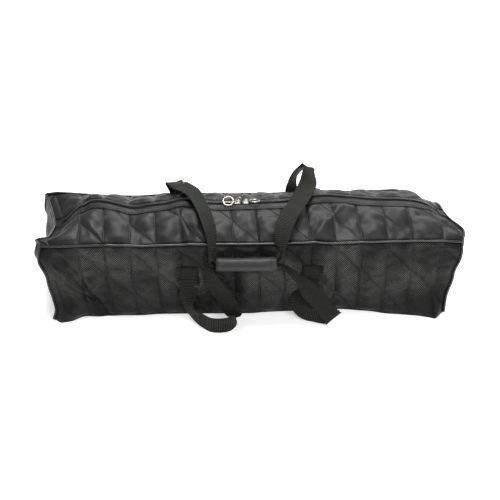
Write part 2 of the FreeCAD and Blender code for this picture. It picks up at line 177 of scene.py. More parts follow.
# ---------------------------------------------------------------- mesh helpers
def add_mesh(name, verts, faces, material, attributes=None, flat=False):
    me = bpy.data.meshes.new(name)
    me.from_pydata([tuple(v) for v in np.asarray(verts, float)], [], faces)
    me.validate()
    for key, values in (attributes or {}).items():
        values = np.asarray(values, np.float32)
        kind = "FLOAT_VECTOR" if values.ndim == 2 else "FLOAT"
        layer = me.attributes.new(key, kind, "POINT")
        layer.data.foreach_set("vector" if values.ndim == 2 else "value", values.ravel())
    me.materials.append(material)
    if not flat:
        me.polygons.foreach_set("use_smooth", [True] * len(me.polygons))
    me.update()
    ob = bpy.data.objects.new(name, me)
    bpy.context.scene.collection.objects.link(ob)
    return ob


def grid_faces(nv, nu, start=0, flip=False):
    j, i = np.mgrid[0:nv - 1, 0:nu - 1]
    a = (start + j * nu + i).ravel()
    q = np.stack([a, a + 1, a + nu + 1, a + nu], 1)
    return (q[:, ::-1] if flip else q).tolist()


def closed_sheet(name, outer, inner, cloth, material, flip=False):
    """A closed sheet from its outer and inner grids of points, in metres."""
    nv, nu = outer.shape[:2]
    n = nv * nu
    faces = grid_faces(nv, nu, 0, flip) + grid_faces(nv, nu, n, not flip)
    rim = ([j * nu for j in range(nv)][::-1] + list(range(1, nu))
           + [j * nu + nu - 1 for j in range(1, nv)]
           + [(nv - 1) * nu + i for i in range(nu - 2, 0, -1)])
    for a, b in zip(rim, rim[1:] + rim[:1]):
        faces.append([b, a, a + n, b + n] if not flip else [a, b, b + n, a + n])
    verts = np.concatenate([outer.reshape(-1, 3), inner.reshape(-1, 3)])
    uv = np.concatenate([cloth.reshape(-1, 3)] * 2)
    return add_mesh(name, verts, faces, material, {"cloth": uv})


def finer(g, times=2):
    """The grid with points between its points, on smooth curves."""
    def along(a):
        m = a.shape[0]
        pad = np.concatenate([2 * a[:1] - a[1:2], a, 2 * a[-1:] - a[-2:-1]])
        out = []
        for k in range(times):
            t = k / times
            out.append(0.5 * ((2 * pad[1:-2]) + (pad[2:-1] - pad[:-3]) * t
                              + (2 * pad[:-3] - 5 * pad[1:-2] + 4 * pad[2:-1] - pad[3:]) * t * t
                              + (3 * pad[1:-2] - pad[:-3] - 3 * pad[2:-1] + pad[3:]) * t**3))
        mixed = np.stack(out, 1).reshape(((m - 1) * times,) + a.shape[1:])
        return np.concatenate([mixed, a[-1:]])
    g = along(g)
    return np.swapaxes(along(np.swapaxes(g, 0, 1)), 0, 1)


def simulate(name, flat, pinned):
    """Blow up a flat quilted sheet, in metres, held along its seams; it comes back as moved points."""
    nv, nu = flat.shape[:2]
    me = bpy.data.meshes.new(name)
    me.from_pydata([tuple(v) for v in flat.reshape(-1, 3)], [], grid_faces(nv, nu))
    ob = bpy.data.objects.new(name, me)
    bpy.context.scene.collection.objects.link(ob)
    group = ob.vertex_groups.new(name="held")
    group.add([int(k) for k in np.flatnonzero(pinned.ravel())], 1.0, "ADD")
    m = ob.modifiers.new("Cloth", "CLOTH")
    c = m.settings
    c.quality = 4
    c.mass = 0.15
    c.tension_stiffness = 12.0
    c.compression_stiffness = 12.0
    c.shear_stiffness = 3.0
    c.bending_stiffness = 0.4
    c.tension_damping = 8.0
    c.compression_damping = 8.0
    c.air_damping = 3.0
    c.vertex_group_mass = "held"
    c.shrink_min = -GROW
    c.shrink_max = -GROW
    c.use_pressure = True
    c.uniform_pressure_force = PRESSURE
    c.effector_weights.gravity = 0.0
    m.collision_settings.use_collision = False
    m.point_cache.frame_start = 1
    m.point_cache.frame_end = FRAMES
    for f in range(1, FRAMES + 1):
        bpy.context.scene.frame_set(f)
    got = ob.evaluated_get(bpy.context.evaluated_depsgraph_get()).to_mesh()
    co = np.empty(len(got.vertices) * 3, np.float32)
    got.vertices.foreach_get("co", co)
    bpy.data.objects.remove(ob)
    bpy.data.meshes.remove(me)
    return co.reshape(nv, nu, 3).astype(float)


def near_seam(u, v):
    """Distance, in mm, to the nearest quilting seam: upright ones and long diagonals."""
    upright = np.abs((u - SEAM_X + CELL / 2) % CELL - CELL / 2)
    slant = np.abs((u - SEAM_X + v + CELL) % (2 * CELL) - CELL) / math.sqrt(2.0)
    return np.minimum(upright, slant)


def around(grid):
    """The mean of each point's four neighbours."""
    return 0.25 * (np.roll(grid, 1, 0) + np.roll(grid, -1, 0) + np.roll(grid, 1, 1) + np.roll(grid, -1, 1))


def quilt(name, us, vs, seed, full):
    """A quilted panel's outer surface over flat coordinates us, vs (mm): moved u, v and the rise."""
    u, v = np.meshgrid(us, vs)
    near = near_seam(u, v)
    edge = np.minimum(np.minimum(u - us[0], us[-1] - u), np.minimum(v - vs[0], vs[-1] - v))
    held = (near < 0.45 * STEP) | (edge < 0.3 * STEP)
    rng = np.random.default_rng(seed)
    soft_noise = rng.normal(0, 1, u.shape)
    for _ in range(3):
        soft_noise = around(soft_noise)
    start = np.where(held, 0.0, 0.9 * np.minimum(1, near / 12.0) + 0.5 * soft_noise)
    flat = np.stack([u, v, start], -1) * MM
    got = simulate(name, flat, held) / MM
    for _ in range(3):
        rise = got[..., 2]
        got[..., 2] = np.where(held, rise, 0.5 * rise + 0.5 * around(rise))
    got[..., 2] = np.clip(full * got[..., 2], -1.0, 9.0) * smooth((edge + 2.0) / 15.0)
    return got


def skin_grids(q, place, thick=2.2, press=None):
    """The outer and inner grids of a quilted panel's shell on the case."""
    fine = finer(q, 2)
    nv, nu = fine.shape[:2]
    if press is not None:
        fine[..., 2] *= press(fine[..., 0], fine[..., 1])
    outer = soft(place(fine[..., 0], fine[..., 1], fine[..., 2])) * MM
    inner = soft(place(fine[..., 0], fine[..., 1], np.minimum(fine[..., 2], 0.5) * 0.3 - thick)) * MM
    return outer, inner


def flat_uv(us, vs):
    u, v = np.meshgrid(us, vs)
    return finer(np.stack([u, v, np.zeros_like(u)], -1), 2)


# ---------------------------------------------------------------- materials
class Nodes:
    """Short names for building one node material."""

    def __init__(self, name):
        self.material = bpy.data.materials.new(name)
        self.material.use_nodes = True
        self.tree = self.material.node_tree
        self.shader = self.tree.nodes["Principled BSDF"]

    def new(self, kind, **props):
        node = self.tree.nodes.new(kind)
        for k, v in props.items():
            setattr(node, k, v)
        return node

    def put(self, value, socket):
        if isinstance(value, bpy.types.NodeSocket):
            self.tree.links.new(value, socket)
        else:
            socket.default_value = value

    def math(self, op, a, b=None, c=None, clamp=False):
        node = self.new("ShaderNodeMath", operation=op, use_clamp=clamp)
        for i, v in enumerate((a, b, c)):
            if v is not None:
                self.put(v, node.inputs[i])
        return node.outputs[0]

    def ramp(self, value, low, high, to_low=0.0, to_high=1.0):
        node = self.new("ShaderNodeMapRange", interpolation_type="SMOOTHSTEP")
        for i, v in enumerate((value, low, high, to_low, to_high)):
            self.put(v, node.inputs[i])
        return node.outputs[0]

    def cloth(self):
        """The flat coordinates of the cloth, in mm."""
        flat = self.new("ShaderNodeAttribute", attribute_type="GEOMETRY", attribute_name="cloth")
        sep = self.new("ShaderNodeSeparateXYZ")
        self.put(flat.outputs["Vector"], sep.inputs[0])
        return sep.outputs[0], sep.outputs[1]

    def place(self):
        return self.new("ShaderNodeTexCoord").outputs["Object"]

    def folded(self, value, period):
        """How far a value is from the nearest whole multiple of a period."""
        shifted = self.math("FLOORED_MODULO", self.math("ADD", value, period / 2), period)
        return self.math("ABSOLUTE", self.math("SUBTRACT", shifted, period / 2))

    def noise(self, scale, detail=3.0, rough=0.5, vector=None):
        node = self.new("ShaderNodeTexNoise")
        node.inputs["Scale"].default_value = scale
        node.inputs["Detail"].default_value = detail
        node.inputs["Roughness"].default_value = rough
        if vector is not None:
            self.put(vector, node.inputs["Vector"])
        return node.outputs[0]

    def mix(self, factor, a, b):
        node = self.new("ShaderNodeMix", data_type="RGBA")
        self.put(factor, node.inputs["Factor"])
        for v, socket in ((a, node.inputs[6]), (b, node.inputs[7])):
            self.put(v if isinstance(v, bpy.types.NodeSocket) else (*v, 1.0), socket)
        return node.outputs[2]

    def bump(self, height, distance, strength=1.0, normal=None):
        node = self.new("ShaderNodeBump")
        node.inputs["Strength"].default_value = strength
        node.inputs["Distance"].default_value = distance
        self.put(height, node.inputs["Height"])
        if normal is not None:
            self.put(normal, node.inputs["Normal"])
        return node.outputs[0]

    def finish(self, colour=None, rough=None, normal=None, **fixed):
        if colour is not None:
            self.put(colour, self.shader.inputs["Base Color"])
        if rough is not None:
            self.put(rough, self.shader.inputs["Roughness"])
        if normal is not None:
            self.put(normal, self.shader.inputs["Normal"])
        for k, v in fixed.items():
            self.shader.inputs[k.replace("_", " ")].default_value = v
        return self.material


def wave(n, value, pitch):
    return n.math("SINE", n.math("MULTIPLY", value, 2 * math.pi / pitch))


def stitches(n, distance, along, pitch=3.4, width=0.42):
    """1 on each stitch of a line of sewing, from the distance to the line and the place along it."""
    on = n.ramp(distance, width, width * 1.7, 1.0, 0.0)
    dash = n.ramp(wave(n, along, pitch), -0.55, -0.2)
    return n.math("MULTIPLY", on, dash)


def quilted_nylon(name, base, glint, quilt_lines=True, lines=(), fade=None, weave=1.0, shaded_borders=()):
    """Black nylon with a small raised diamond weave, its raised diamonds painted lighter as a painted highlight;
    sewn lines are drawn from its flat coordinates.
    """
    n = Nodes(name)
    u, v = n.cloth()
    plus, minus = n.math("ADD", u, v), n.math("SUBTRACT", u, v)
    a = n.math("ABSOLUTE", wave(n, plus, 2 * LATTICE))
    b = n.math("ABSOLUTE", wave(n, minus, 2 * LATTICE))
    raised = n.ramp(n.math("MULTIPLY", a, b), 0.30, 0.85)
    yarn = n.math("MULTIPLY", wave(n, u, 0.9), wave(n, v, 0.9))
    place = n.place()
    # painted highlight: a broad noise sets where the raised diamonds are painted bright, and a fine noise picks
    # the diamonds that get the glint colour
    sheen_patches = n.noise(9.0, 2.0, 0.5, place)
    glint_scatter = n.noise(420.0, 2.0, 0.6, place)
    shown = n.ramp(sheen_patches, 0.36, 0.64, 0.2, 1.15)
    if fade is not None:
        # the painted highlight on the diamonds fades towards low v, the foot of each wall
        shown = n.math("MULTIPLY", shown, n.ramp(v, fade[0], fade[1], 0.35, 1.0))
    dots = n.math("MULTIPLY", raised, n.math("MULTIPLY", shown, weave))
    height = n.math("ADD", n.math("MULTIPLY", raised, 0.30 * weave), n.math("MULTIPLY", yarn, 0.05))
    # painted light and shade: the ground between the diamonds is painted darker and the raised diamonds lighter,
    # some of them in the glint colour
    shaded_ground = tuple(c * (1.15 - 0.8 * weave) for c in base)
    colour = n.mix(dots, shaded_ground, tuple(c * 2.6 for c in base))
    colour = n.mix(n.math("MULTIPLY", dots, n.ramp(glint_scatter, 0.5, 0.7)), colour, glint)
    gloss = n.ramp(dots, 0.0, 1.0, 0.38 - 0.24 * weave, 0.7)
    sewn = None
    if quilt_lines:
        shifted = n.math("SUBTRACT", u, SEAM_X)
        upright = n.folded(shifted, CELL)
        slant = n.math("MULTIPLY", n.folded(n.math("ADD", shifted, v), 2 * CELL), 1 / math.sqrt(2))
        groove = n.math("MINIMUM", upright, slant)
        other = n.math("MULTIPLY", n.math("SUBTRACT", u, v), 1 / math.sqrt(2))
        sewn = n.math("MAXIMUM", stitches(n, upright, v), stitches(n, slant, other))
        height = n.math("ADD", height, n.ramp(groove, 0.2, 3.0, -1.6, 0.0))
        # painted shade: the cloth is painted nearly black along the quilting grooves
        colour = n.mix(n.ramp(groove, 0.5, 2.2, 0.8, 0.0), colour, (0.001, 0.001, 0.001))
    for at in lines:
        d = n.math("ABSOLUTE", n.math("SUBTRACT", v, at))
        line = stitches(n, d, u)
        sewn = line if sewn is None else n.math("MAXIMUM", sewn, line)
        height = n.math("ADD", height, n.ramp(d, 0.2, 1.8, -0.8, 0.0))
    if sewn is not None:
        height = n.math("ADD", height, n.math("MULTIPLY", sewn, 0.5))
        colour = n.mix(sewn, colour, (0.022, 0.022, 0.024))
    # painted shade: a dark band, with its gloss cut, along each of these lines where the panel meets the piping
    # or the zip welt
    for at in shaded_borders:
        d = n.math("ABSOLUTE", n.math("SUBTRACT", v, at))
        colour = n.mix(n.ramp(d, 2.0, 8.0, 0.95, 0.0), colour, (0.0008, 0.0008, 0.0008))
        gloss = n.math("MULTIPLY", gloss, n.ramp(d, 2.0, 8.0, 0.1, 1.0))
    n.put(gloss, n.shader.inputs["Specular IOR Level"])
    rough = n.ramp(n.math("MULTIPLY", raised, weave), 0.0, 1.0, 0.44 + 0.08 * weave, 0.34)
    return n.finish(colour, rough, n.bump(height, 0.0006), Sheen_Weight=0.03, Sheen_Roughness=0.4)


def webbing():
    n = Nodes("webbing_polyester")
    u, v = n.cloth()
    rib = wave(n, u, 3.6)
    zigzag = n.math("ABSOLUTE", n.math("SUBTRACT", n.math("FLOORED_MODULO", v, 4.2), 2.1))
    twill = wave(n, n.math("ADD", zigzag, u), 1.4)
    edge = n.ramp(n.math("ABSOLUTE", v), 17.0, 18.6)
    uneven = n.noise(45.0, 3.0, 0.6)
    fuzz = n.noise(700.0, 3.0, 0.6)
    shown = n.ramp(uneven, 0.35, 0.65, 0.35, 1.0)
    ribbed = n.math("MULTIPLY", rib, shown)
    height = n.math("ADD", n.math("MULTIPLY", ribbed, 0.60), n.math("MULTIPLY", twill, 0.14))
    height = n.math("ADD", height, n.math("MULTIPLY", edge, -0.6))
    tone = n.math("ADD", n.math("MULTIPLY", ribbed, 0.32), n.math("MULTIPLY", twill, 0.12))
    tone = n.math("ADD", tone, n.math("MULTIPLY", fuzz, 0.4))
    colour = n.mix(n.ramp(tone, -0.15, 0.55), (0.0024, 0.0027, 0.0022), (0.0215, 0.0232, 0.0190))
    n.put(n.ramp(tone, -0.15, 0.55, 0.03, 0.17), n.shader.inputs["Specular IOR Level"])
    return n.finish(colour, n.ramp(ribbed, -1.0, 1.0, 0.75, 0.55), n.bump(height, 0.0006),
                    Sheen_Weight=0.02, Sheen_Roughness=0.5)


def vinyl():
    n = Nodes("piping_vinyl_black")
    scuff = n.noise(160.0, 4.0, 0.6)
    fine = n.noise(1500.0, 2.0, 0.5)
    colour = n.mix(n.ramp(scuff, 0.5, 0.75, 0.0, 0.6), (0.0045, 0.0047, 0.0050), (0.016, 0.0165, 0.017))
    height = n.math("ADD", n.math("MULTIPLY", scuff, 0.5), n.math("MULTIPLY", fine, 0.1))
    return n.finish(colour, n.ramp(scuff, 0.3, 0.7, 0.18, 0.32), n.bump(height, 0.00012, 0.5),
                    Specular_IOR_Level=0.6)


def leatherette():
    n = Nodes("grip_leatherette_black")
    co = n.place()
    cells = n.new("ShaderNodeTexVoronoi", feature="DISTANCE_TO_EDGE")
    cells.inputs["Scale"].default_value = 620.0
    n.put(co, cells.inputs["Vector"])
    grain = n.ramp(cells.outputs["Distance"], 0.02, 0.25)
    worn = n.noise(70.0, 4.0, 0.55, co)
    colour = n.mix(grain, (0.004, 0.0042, 0.0042), (0.0125, 0.0130, 0.0130))
    colour = n.mix(n.ramp(worn, 0.5, 0.75, 0.0, 0.5), colour, (0.026, 0.027, 0.027))
    height = n.math("ADD", n.math("MULTIPLY", grain, 0.5), n.math("MULTIPLY", worn, 0.6))
    return n.finish(colour, n.ramp(worn, 0.3, 0.7, 0.36, 0.52), n.bump(height, 0.0003, 0.7),
                    Specular_IOR_Level=0.4)


def nickel():
    n = Nodes("zip_nickel")
    co = n.place()
    scratch = n.noise(900.0, 4.0, 0.7, co)
    colour = n.mix(n.ramp(scratch, 0.4, 0.7), (0.30, 0.29, 0.26), (0.62, 0.60, 0.55))
    return n.finish(colour, n.ramp(scratch, 0.3, 0.7, 0.2, 0.36), n.bump(scratch, 0.0001, 0.3), Metallic=1.0)


def fine_cloth(name, base, pitch, line=None):
    """Plain tightly woven cloth, with an optional sewn line at one place across it."""
    n = Nodes(name)
    u, v = n.cloth()
    yarn = n.math("MULTIPLY", wave(n, u, pitch), wave(n, v, pitch))
    worn = n.noise(30.0, 3.0, 0.6)
    colour = n.mix(n.ramp(yarn, -0.7, 0.7), tuple(c * 0.6 for c in base), tuple(c * 1.25 for c in base))
    colour = n.mix(n.ramp(worn, 0.4, 0.7, 0.0, 0.3), colour, tuple(c * 1.7 for c in base))
    height = yarn
    if line is not None:
        d = n.math("ABSOLUTE", n.math("SUBTRACT", v, line))
        s = stitches(n, d, u)
        height = n.math("ADD", height, n.math("MULTIPLY", s, 1.5))
        colour = n.mix(s, colour, (0.04, 0.04, 0.042))
    return n.finish(colour, n.ramp(yarn, -1.0, 1.0, 0.75, 0.55), n.bump(height, 0.0002, 0.7),
                    Sheen_Weight=0.1)


def nylon_coil():
    n = Nodes("zip_coil_nylon_black")
    co = n.place()
    dust = n.noise(500.0, 3.0, 0.6, co)
    colour = n.mix(n.ramp(dust, 0.45, 0.75), (0.003, 0.003, 0.0035), (0.012, 0.012, 0.0125))
    return n.finish(colour, n.ramp(dust, 0.3, 0.7, 0.40, 0.55), n.bump(dust, 0.0001, 0.3),
                    Specular_IOR_Level=0.25)


def foam():
    n = Nodes("padding_foam_grey")
    co = n.place()
    cells = n.new("ShaderNodeTexVoronoi")
    cells.inputs["Scale"].default_value = 700.0
    n.put(co, cells.inputs["Vector"])
    colour = n.mix(n.ramp(cells.outputs["Distance"], 0.1, 0.6), (0.16, 0.16, 0.17), (0.05, 0.05, 0.055))
    return n.finish(colour, 0.9, n.bump(cells.outputs["Distance"], 0.0005, 0.8))


def hooked():
    n = Nodes("hook_and_loop_pile")
    co = n.place()
    pile = n.noise(1400.0, 3.0, 0.7, co)
    colour = n.mix(n.ramp(pile, 0.35, 0.7), (0.006, 0.006, 0.007), (0.05, 0.05, 0.052))
    return n.finish(colour, 0.85, n.bump(pile, 0.0006), Sheen_Weight=0.3)


NYLON = quilted_nylon("quilted_nylon_black", (0.0095, 0.0103, 0.0091), (0.100, 0.105, 0.096),
                      fade=(10.0, 110.0), shaded_borders=(EDGE_HEIGHT,))
# painted shade: the top and the ends use darker copies of the same nylon, where they catch more light; the top's
# weave is also made fainter
NYLON_TOP_SHADED = quilted_nylon("quilted_nylon_top_shaded", (0.0054, 0.0060, 0.0057), (0.052, 0.056, 0.053),
                          weave=0.45, shaded_borders=(0.0, HALF_DEPTH - WELT_OUT))
NYLON_END_SHADED = quilted_nylon("quilted_nylon_end_shaded", (0.0030, 0.0033, 0.0031), (0.026, 0.028, 0.026),
                          weave=0.5, shaded_borders=(EDGE_HEIGHT,))
NYLON_WELT = quilted_nylon("welt_nylon_black", (0.0085, 0.0087, 0.0092), (0.045, 0.046, 0.05),
                           quilt_lines=False, lines=(3.0, 15.6))
WEBBING = webbing()
VINYL = vinyl()
LEATHER = leatherette()
NICKEL = nickel()
LINING = fine_cloth("lining_nylon_grey", (0.020, 0.0205, 0.023), 1.1)
TAPE = fine_cloth("zip_tape_black", (0.005, 0.005, 0.0055), 1.0, line=6.5)
COIL = nylon_coil()
FOAM = foam()
PILE = hooked()


# ---------------------------------------------------------------- quilted panels
def declare(ob, body, slot, *nodes, fill=None):
    if body is not None:
        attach(ob, body)
    if nodes:
        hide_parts(*nodes)
    return ob


def blend_to_flap(ob):
    """A left or right half of the top, its placing baked into its mesh."""
    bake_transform(ob)


XS = np.array([-HALF_LENGTH] + [SEAM_X + STEP * k for k in range(-108, 99)] + [HALF_LENGTH])
ZS = np.linspace(0, EDGE_HEIGHT, 44)
YS = np.linspace(-HALF_DEPTH, HALF_DEPTH, 49)
VS = np.linspace(0, HALF_DEPTH - WELT_OUT, 21)
ANCHORS = {"front_anchor_left": (-129.0, -1), "front_anchor_right": (127.0, -1),
           "rear_anchor_left": (-133.0, 1), "rear_anchor_right": (129.0, 1)}


def pressed(sign):
    """The quilting is held flat under the sewn handle ends."""
    def press(x, z):
        keep = np.ones_like(x)
        for ax, s in ANCHORS.values():
            if s == sign:
                inside = smooth((27.0 - np.abs(x - ax)) / 8.0) * smooth((26.0 - np.abs(z - 102.0)) / 8.0)
                keep = np.minimum(keep, 1.0 - 0.97 * inside)
        return keep
    return press


def at_front(x, z, w):
    return np.stack([x, -HALF_DEPTH - w, z], -1)


def at_rear(x, z, w):
    return np.stack([x, HALF_DEPTH + w, z], -1)


def at_top_front(x, v, w):
    return np.stack([x, -HALF_DEPTH + v, EDGE_HEIGHT + w], -1)


def at_top_rear(x, v, w):
    return np.stack([x, HALF_DEPTH - v, EDGE_HEIGHT + w], -1)


def at_left(y, z, w):
    return np.stack([-HALF_LENGTH - w, y, z], -1)


def at_right(y, z, w):
    return np.stack([HALF_LENGTH + w, y, z], -1)


def at_bottom(x, y, w):
    return np.stack([x, y, np.maximum(-w, 0.0)], -1)


for name, us, vs, place, flip, seed, press in (
        ("front", XS, ZS, at_front, False, 3, pressed(-1)),
        ("rear", XS, ZS, at_rear, True, 4, pressed(1)),
        ("left_end", YS, ZS, at_left, True, 5, None),
        ("right_end", YS, ZS, at_right, False, 6, None)):
    q = quilt(name, us, vs, seed, full=0.6 if name.endswith("end") else 1.5)
    outer, inner = skin_grids(q, place, press=press)
    ob = closed_sheet(name + "_skin", outer, inner, flat_uv(us, vs),
                      NYLON_END_SHADED if name.endswith("end") else NYLON, flip)
    declare(ob, "case", "case_nylon", name + "_panel", name + "_padding", fill=0.55)

bx = np.linspace(-HALF_LENGTH, HALF_LENGTH, 160)
by = np.linspace(-HALF_DEPTH, HALF_DEPTH, 44)
u, v = np.meshgrid(bx, by)
near = near_seam(u, v)
lift = 1.2 * np.exp(-(near / 3.0) ** 2)
ob = closed_sheet("bottom_skin", soft(at_bottom(u, v, -lift)) * MM, soft(at_bottom(u, v, -2.6 - lift)) * MM,
                  np.stack([u, v, 0 * u], -1), NYLON, True)
declare(ob, "case", "case_nylon", "bottom_panel", "bottom_padding", fill=0.3)

for name, place, flip, flap, seed in (("front", at_top_front, False, "front_flap", 7),
                                      ("rear", at_top_rear, True, "rear_flap", 8)):
    q = quilt("top_" + name, XS, VS, seed, full=1.5)
    outer, inner = skin_grids(q, place)
    uv = flat_uv(XS, VS)
    cut = 2 * int(np.argmin(np.abs(XS - SPLIT)))
    for part, keep in (("left", slice(0, cut + 1)), ("right", slice(cut, None))):
        ob = closed_sheet(f"top_{name}_skin_{part}", outer[:, keep], inner[:, keep], uv[:, keep],
                          NYLON_TOP_SHADED, flip)
        blend_to_flap(ob)
        declare(ob, None, "case_nylon", f"top_{name}_panel", f"top_{name}_padding", fill=0.5)


# ---------------------------------------------------------------- linings
def lining(name, us, vs, place, flip):
    """A thin lining cloth, sewn down at its edges over the padding behind it."""
    u, v = np.meshgrid(us, vs)
    uv = np.stack([u, v, 0 * u], -1)
    outer = soft(place(u, v, 0 * u - 7.1)) * MM
    inner = soft(place(u, v, 0 * u - 7.9)) * MM
    ob = closed_sheet(name, outer, inner, uv, LINING, flip)
    return ob


lx = np.linspace(-HALF_LENGTH + WALL, HALF_LENGTH - WALL, 90)
lz = np.linspace(WALL, EDGE_HEIGHT - WALL, 20)
ly = np.linspace(-HALF_DEPTH + WALL, HALF_DEPTH - WALL, 24)
for name, us, vs, place, flip in (("front", lx, lz, at_front, False), ("rear", lx, lz, at_rear, True),
                                  ("left_end", ly, lz, at_left, True), ("right_end", ly, lz, at_right, False),
                                  ("bottom", lx, ly, at_bottom, True)):
    ob = lining(name + "_lining_cloth", us, vs, place, flip)
    declare(ob, "case", "lining_nylon", name + "_lining")
lv = np.linspace(WALL + 0.5, HALF_DEPTH - 12.0, 12)
for name, place, flip, flap in (("front", at_top_front, False, "front_flap"),
                                ("rear", at_top_rear, True, "rear_flap")):
    for part, us in (("left", np.linspace(-HALF_LENGTH + WALL, SPLIT, 48)),
                     ("right", np.linspace(SPLIT, HALF_LENGTH - WALL, 44))):
        ob = lining(f"top_{name}_lining_{part}", us, lv, place, flip)
        blend_to_flap(ob)
        declare(ob, None, "lining_nylon", f"top_{name}_lining")


# ---------------------------------------------------------------- zip
ZIP_X = {"left": np.linspace(-HALF_LENGTH + 2.0, SPLIT, 220),
         "right": np.linspace(SPLIT, HALF_LENGTH - 2.0, 200)}


def profile_sheet(name, us, section, sign, material):
    """A long strip along the zip: section is a closed line of (distance from the middle, rise)."""
    sec = np.array(section, float)
    k = len(sec)
    x = np.repeat(us[:, None], k, 1)
    y = np.broadcast_to(sign * sec[:, 0], x.shape)
    z = EDGE_HEIGHT + np.broadcast_to(sec[:, 1], x.shape)
    p = soft(np.stack([x, y, z], -1)) * MM
    uv = np.stack([x, np.broadcast_to(sec[:, 0], x.shape), 0 * x], -1)
    n = len(us)
    faces = []
    for i in range(n - 1):
        for j in range(k):
            a, b = i * k + j, i * k + (j + 1) % k
            f = [a, b, b + k, a + k]
            faces.append(f if sign > 0 else f[::-1])
    cap = list(range(k))
    faces += [cap[::-1] if sign > 0 else cap, [(n - 1) * k + j for j in (cap if sign > 0 else cap[::-1])]]
    return add_mesh(name, p.reshape(-1, 3), faces, material, {"cloth": uv.reshape(-1, 3)})


WELT_SECTION = [(18.6, -1.0), (18.2, 0.1), (16.0, 0.5), (12.5, 0.9), (9.0, 0.7), (7.0, 0.7), (6.0, 0.95),
                (4.7, 0.9), (3.9, 0.2), (3.95, -0.7), (4.7, -1.2), (6.2, -1.3), (10.0, -1.3), (15.0, -1.3)]
TAPE_SECTION = [(12.5, -1.5), (8.0, -1.45), (3.2, -1.45), (3.2, -2.2), (8.0, -2.2), (12.5, -2.2)]
for name, sgn, flap in (("front", -1.0, "front_flap"), ("rear", 1.0, "rear_flap")):
    for part in ("left", "right"):
        us = ZIP_X[part]
        ob = profile_sheet(f"zip_welt_{name}_{part}", us, WELT_SECTION, sgn, NYLON_WELT)
        blend_to_flap(ob)
        declare(ob, None, "case_nylon_plain", "zip_welt_" + name)
        ob = profile_sheet(f"zip_tape_{name}_{part}", us, TAPE_SECTION, sgn, TAPE)
        blend_to_flap(ob)
        declare(ob, None, "zip_tape_woven", "zip_tape_" + name)
        # the coil: one small rounded tooth after another
        teeth = np.arange(us[0] + 6.0 + (0.9 if sgn > 0 else 0.0), us[-1] - 0.8, 1.8)
        base = np.array([(-0.55, 4.3, -1.5), (0.55, 4.3, -1.5), (0.55, 4.3, -3.0), (-0.55, 4.3, -3.0),
                         (-0.6, 2.0, -0.9), (0.6, 2.0, -0.9), (0.6, 2.0, -3.6), (-0.6, 2.0, -3.6),
                         (-0.4, 1.0, -1.4), (0.4, 1.0, -1.4), (0.4, 1.0, -3.1), (-0.4, 1.0, -3.1)])
        quads = [(0, 1, 5, 4), (1, 2, 6, 5), (2, 3, 7, 6), (3, 0, 4, 7), (4, 5, 9, 8), (5, 6, 10, 9),
                 (6, 7, 11, 10), (7, 4, 8, 11), (8, 9, 10, 11), (3, 2, 1, 0)]
        pts, faces = [], []
        for k, tx in enumerate(teeth):
            q = base.copy()
            q[:, 0] += tx
            q[:, 1] *= sgn
            q[:, 2] += EDGE_HEIGHT
            pts.append(q)
            faces += [[12 * k + i for i in (f if sgn < 0 else f[::-1])] for f in quads]
        pts = soft(np.concatenate(pts)) * MM
        ob = add_mesh(f"zip_teeth_{name}_{part}", pts, faces, COIL)
        blend_to_flap(ob)
        declare(ob, None, "zip_coil_nylon", "zip_coil_" + name)

for name, sgn in (("left", -1.0), ("right", 1.0)):
    u, v = np.meshgrid(np.linspace(409.0, 424.5, 8) * sgn, np.linspace(-11.0, 11.0, 10))
    top = soft(np.stack([u, v, EDGE_HEIGHT + 2.2 + 0 * u], -1)) * MM
    low = soft(np.stack([u, v, EDGE_HEIGHT + 0.9 + 0 * u], -1)) * MM
    ob = closed_sheet("zip_end_cloth_" + name, top, low, np.stack([u, v + 11, 0 * u], -1), NYLON_WELT, sgn < 0)
    declare(ob, "case", "case_nylon_plain", "zip_end_tab_" + name)


def tube(name, points, radius, material, sides=12):
    """A round cord along a line of points in metres, with rounded ends."""
    p = np.asarray(points, float)
    t = np.gradient(p, axis=0)
    t /= np.linalg.norm(t, axis=1)[:, None]
    side = np.cross(t[0], (0.3, 0.2, 0.9))
    rows = []
    for i in range(len(p)):
        side = side - t[i] * np.dot(side, t[i])
        side /= np.linalg.norm(side)
        up = np.cross(side, t[i])
        rows.append((p[i], side.copy(), up))
    ends = [(0.15, -0.95), (0.6, -0.75)]
    verts, cloth = [], []
    run = np.concatenate([[0], np.cumsum(np.linalg.norm(np.diff(p, axis=0), axis=1))]) / MM
    rings = ([(0, r, o) for r, o in ends] + [(i, 1.0, 0.0) for i in range(len(p))]
             + [(len(p) - 1, r, -o) for r, o in reversed(ends)])
    for i, scale, shift in rings:
        c, s, w = rows[i]
        c = c + t[i] * shift * radius
        for k in range(sides):
            a = 2 * math.pi * k / sides
            verts.append(c + (s * math.cos(a) + w * math.sin(a)) * radius * scale)
            cloth.append((run[i], k * 2.0 * math.pi * radius / MM / sides, 0))
    faces = []
    for i in range(len(rings) - 1):
        for k in range(sides):
            a, b = i * sides + k, i * sides + (k + 1) % sides
            faces.append([a, a + sides, b + sides, b])
    faces.append(list(range(sides)))
    faces.append([(len(rings) - 1) * sides + k for k in range(sides)][::-1])
    return add_mesh(name, verts, faces, material, {"cloth": cloth})


# ---------------------------------------------------------------- sliders and pulls
PIN_Z = EDGE_HEIGHT + CROWN + 5.4
RING_R = 10.7
# slider place, pull direction and the roll of its ring
PULL = {"left": (-25.0, -1.0, 26.0), "right": (-7.0, 1.0, -18.0)}


